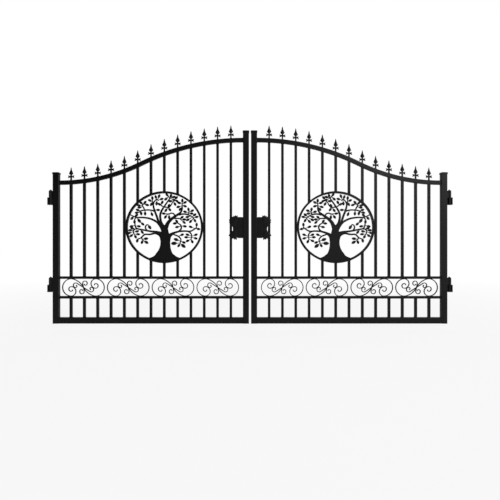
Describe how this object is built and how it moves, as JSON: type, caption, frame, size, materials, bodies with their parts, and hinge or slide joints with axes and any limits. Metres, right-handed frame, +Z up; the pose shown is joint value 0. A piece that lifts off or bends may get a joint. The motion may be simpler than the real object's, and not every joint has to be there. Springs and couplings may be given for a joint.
{
  "type": "wrought iron driveway gate",
  "caption": "Pair of swept-top ornamental driveway gate leaves with spear finials, oval tree medallions and a scroll band, swinging inwards on barrel hinges.",
  "frame": {"origin": "centre of the outer face of the left lower hinge pad, where it meets the left post", "axes": "+X across the opening towards the right post, +Y into the drive, the way the leaves open, +Z up"},
  "size_m": [4, 0.045, 1.9609],
  "materials": {
    "frame": "satin black powder coat",
    "infill": "satin black powder coat",
    "ornament": "satin black powder coat",
    "lock": "satin black powder coat",
    "hinge": "satin black powder coat"
  },
  "bodies": {
    "post_hinges": {"left_hinge_pins": "hinge", "right_hinge_pins": "hinge"},
    "left_leaf": {"left_hinge_barrels": "hinge", "left_hinge_stile": "frame", "left_meeting_stile": "frame", "left_stile_caps": "frame", "left_bottom_rail": "frame", "left_top_rail_sweep": "frame", "left_top_rail_crown": "frame", "left_band_lower_rail": "frame", "left_band_upper_rail": "frame", "left_low_pickets": "infill", "left_full_pickets": "infill", "left_upper_pickets": "infill", "left_middle_pickets": "infill", "left_finials": "ornament", "left_scrolls": "ornament", "left_medallion_ring": "ornament", "left_tree_of_life": "ornament", "left_lock_case": "lock", "left_lock_plates": "lock", "left_lock_leaves": "lock"},
    "right_leaf": {"right_hinge_barrels": "hinge", "right_hinge_stile": "frame", "right_meeting_stile": "frame", "right_stile_caps": "frame", "right_bottom_rail": "frame", "right_top_rail_sweep": "frame", "right_top_rail_crown": "frame", "right_band_lower_rail": "frame", "right_band_upper_rail": "frame", "right_low_pickets": "infill", "right_full_pickets": "infill", "right_upper_pickets": "infill", "right_middle_pickets": "infill", "right_finials": "ornament", "right_scrolls": "ornament", "right_medallion_ring": "ornament", "right_tree_of_life": "ornament", "right_lock_case": "lock", "right_lock_plates": "lock", "right_lock_leaves": "lock"}
  },
  "joints": [
    {"name": "left_swing", "type": "hinge", "parent": "post_hinges", "child": "left_leaf", "pos_m": [0.024, 0, 0], "axis": [0, 0, 1], "range_deg": [0, 90]},
    {"name": "right_swing", "type": "hinge", "parent": "post_hinges", "child": "right_leaf", "pos_m": [3.976, 0, 0], "axis": [0, 0, -1], "range_deg": [0, 90]}
  ]
}
